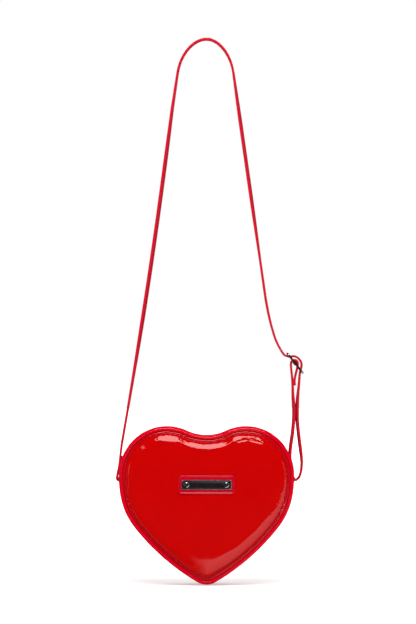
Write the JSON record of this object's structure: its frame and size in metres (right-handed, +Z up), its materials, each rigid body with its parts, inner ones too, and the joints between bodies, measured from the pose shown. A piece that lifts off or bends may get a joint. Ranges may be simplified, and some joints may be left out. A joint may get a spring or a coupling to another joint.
{
  "type": "crossbody bag",
  "caption": "Heart-shaped crossbody bag of glossy padded vinyl with round piping, a curved zip over the lobes, a bare name plate and a strap threaded through an adjuster.",
  "frame": {"origin": "underside of the strap at the top of its loop, on the middle plane of the bag, where a hook or a hand holds it", "axes": "+X across the bag, to the right seen from its front; the front with the name plate faces -Y; +Z up, from the bag's tip to the top of the strap"},
  "size_m": [0.2252, 0.0701, 0.6546],
  "materials": {
    "panel_vinyl": "glossy red patent vinyl, backed with cloth",
    "piping_vinyl": "glossy red patent vinyl over a round cord",
    "gusset_vinyl": "glossy red patent vinyl",
    "strap_vinyl": "glossy red patent vinyl, folded and stitched",
    "foam": "soft padding",
    "cord_fibre": "plain filler cord",
    "lining_cloth": "plain woven lining",
    "zip_tape": "woven zip tape",
    "zip_metal": "dark enamelled zip metal",
    "plate_metal": "near-black bare metal plate with a bright bevelled edge",
    "fitting_metal": "dark gunmetal plating",
    "washer_metal": "plain steel, hidden"
  },
  "bodies": {
    "bag": {"front_panel": "panel_vinyl", "back_panel": "panel_vinyl", "front_foam": "foam", "back_foam": "foam", "front_piping": "piping_vinyl", "back_piping": "piping_vinyl", "front_cord": "cord_fibre", "back_cord": "cord_fibre", "gusset_band": "gusset_vinyl", "zip_strip_front": "gusset_vinyl", "zip_strip_back": "gusset_vinyl", "zip_tape_front": "zip_tape", "zip_tape_back": "zip_tape", "zip_teeth_front": "zip_metal", "zip_teeth_back": "zip_metal", "zip_stops": "zip_metal", "name_patch": "panel_vinyl", "name_plate": "plate_metal", "plate_rivets": "fitting_metal", "rivet_washers": "washer_metal", "lining_front": "lining_cloth", "lining_back": "lining_cloth", "lining_gusset": "lining_cloth", "tab_left": "strap_vinyl", "tab_right": "strap_vinyl", "strap": "strap_vinyl", "strap_feed": "strap_vinyl", "strap_strands": "strap_vinyl"},
    "ring_left": {"ring_left": "fitting_metal", "strap_end_left": "strap_vinyl"},
    "ring_right": {"ring_right": "fitting_metal", "strap_loop_right": "strap_vinyl"},
    "strap_slide": {"slide_frame": "fitting_metal", "slide_bar": "fitting_metal", "strap_threads": "strap_vinyl"},
    "zip_slider": {"zip_slider": "zip_metal"},
    "zip_pull": {"zip_pull": "zip_metal"}
  },
  "joints": [
    {"name": "ring_left_pivot", "type": "hinge", "parent": "bag", "child": "ring_left", "pos_m": [-0.10229, 0, -0.53634], "axis": [0, -1, 0], "range_deg": [0, 60]},
    {"name": "ring_right_pivot", "type": "hinge", "parent": "bag", "child": "ring_right", "pos_m": [0.10229, 0, -0.53634], "axis": [0, 1, 0], "range_deg": [0, 60]},
    {"name": "strap_adjust", "type": "slide", "parent": "bag", "child": "strap_slide", "axis": [-0.1413, 0, 0.99], "range_m": [-0.03, 0.15], "deforming": ["strap_feed", "strap_strands"]},
    {"name": "zip_run", "type": "hinge", "parent": "bag", "child": "zip_slider", "pos_m": [0.04763, 0, -0.52084], "axis": [0, -1, 0], "range_deg": [0, 56]},
    {"name": "zip_pull_swing", "type": "hinge", "parent": "zip_slider", "child": "zip_pull", "pos_m": [0.08197, 0, -0.47843], "axis": [0, -1, 0], "range_deg": [0, 165]}
  ]
}
